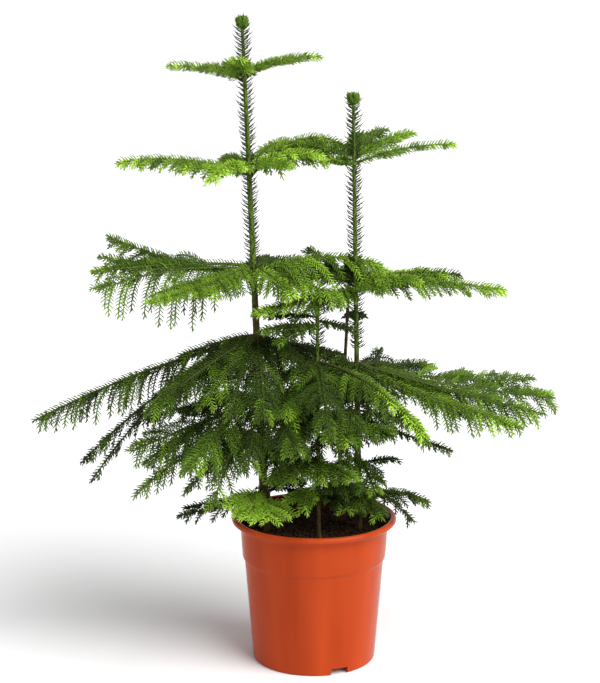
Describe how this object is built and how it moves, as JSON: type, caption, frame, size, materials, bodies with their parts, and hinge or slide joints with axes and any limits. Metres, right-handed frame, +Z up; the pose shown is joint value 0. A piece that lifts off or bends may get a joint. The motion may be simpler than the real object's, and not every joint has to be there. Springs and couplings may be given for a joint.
{
  "type": "potted norfolk island pine",
  "caption": "Young Norfolk Island pine: slender leaning stems with open whorls of flat, drooping, needle-clad fronds, in a round terracotta-coloured plastic nursery pot filled with soil.",
  "frame": {"origin": "middle of the pot's flat underside, on the surface that it stands on", "axes": "+Z up the stems, +X to the right and -Y towards the viewer of the picture"},
  "size_m": [0.6537, 0.3672, 0.8198],
  "materials": {
    "pot": "satin moulded plastic",
    "soil": "damp potting mix",
    "bark": "young bark, brown below and green above",
    "needles": "waxy green needles"
  },
  "bodies": {
    "root": {"pot": "pot", "soil": "soil", "stem_left": "bark", "stem_right": "bark", "stem_front": "bark", "stem_back": "bark", "bough_left_4_1": "bark", "bough_left_4_2": "bark", "bough_right_3_1": "bark", "bough_right_3_2": "bark", "frond_left_1_1": "needles", "frond_left_1_2": "needles", "frond_left_1_3": "needles", "frond_left_1_4": "needles", "frond_left_2_1": "needles", "frond_left_2_2": "needles", "frond_left_2_3": "needles", "frond_left_2_4": "needles", "frond_left_2_5": "needles", "frond_left_3_1": "needles", "frond_left_3_2": "needles", "frond_left_3_3": "needles", "frond_left_3_4": "needles", "frond_left_3_5": "needles", "frond_left_4_1": "needles", "frond_left_4_2": "needles", "frond_left_4_3": "needles", "frond_left_4_4": "needles", "frond_left_4_5": "needles", "frond_left_5_1": "needles", "frond_left_5_2": "needles", "frond_left_5_3": "needles", "frond_left_5_4": "needles", "frond_left_6_1": "needles", "frond_left_6_2": "needles", "frond_left_7_1": "needles", "frond_left_8_1": "needles", "frond_right_1_1": "needles", "frond_right_1_2": "needles", "frond_right_1_3": "needles", "frond_right_1_4": "needles", "frond_right_2_1": "needles", "frond_right_2_2": "needles", "frond_right_2_3": "needles", "frond_right_2_4": "needles", "frond_right_3_1": "needles", "frond_right_3_2": "needles", "frond_right_3_3": "needles", "frond_right_3_4": "needles", "frond_right_3_5": "needles", "frond_right_4_1": "needles", "frond_right_5_1": "needles", "frond_right_5_2": "needles", "frond_front_1_1": "needles", "frond_front_2_1": "needles", "frond_front_2_2": "needles", "frond_front_3_1": "needles", "frond_back_1_1": "needles", "frond_back_2_1": "needles", "frond_back_3_1": "needles"}
  },
  "joints": []
}
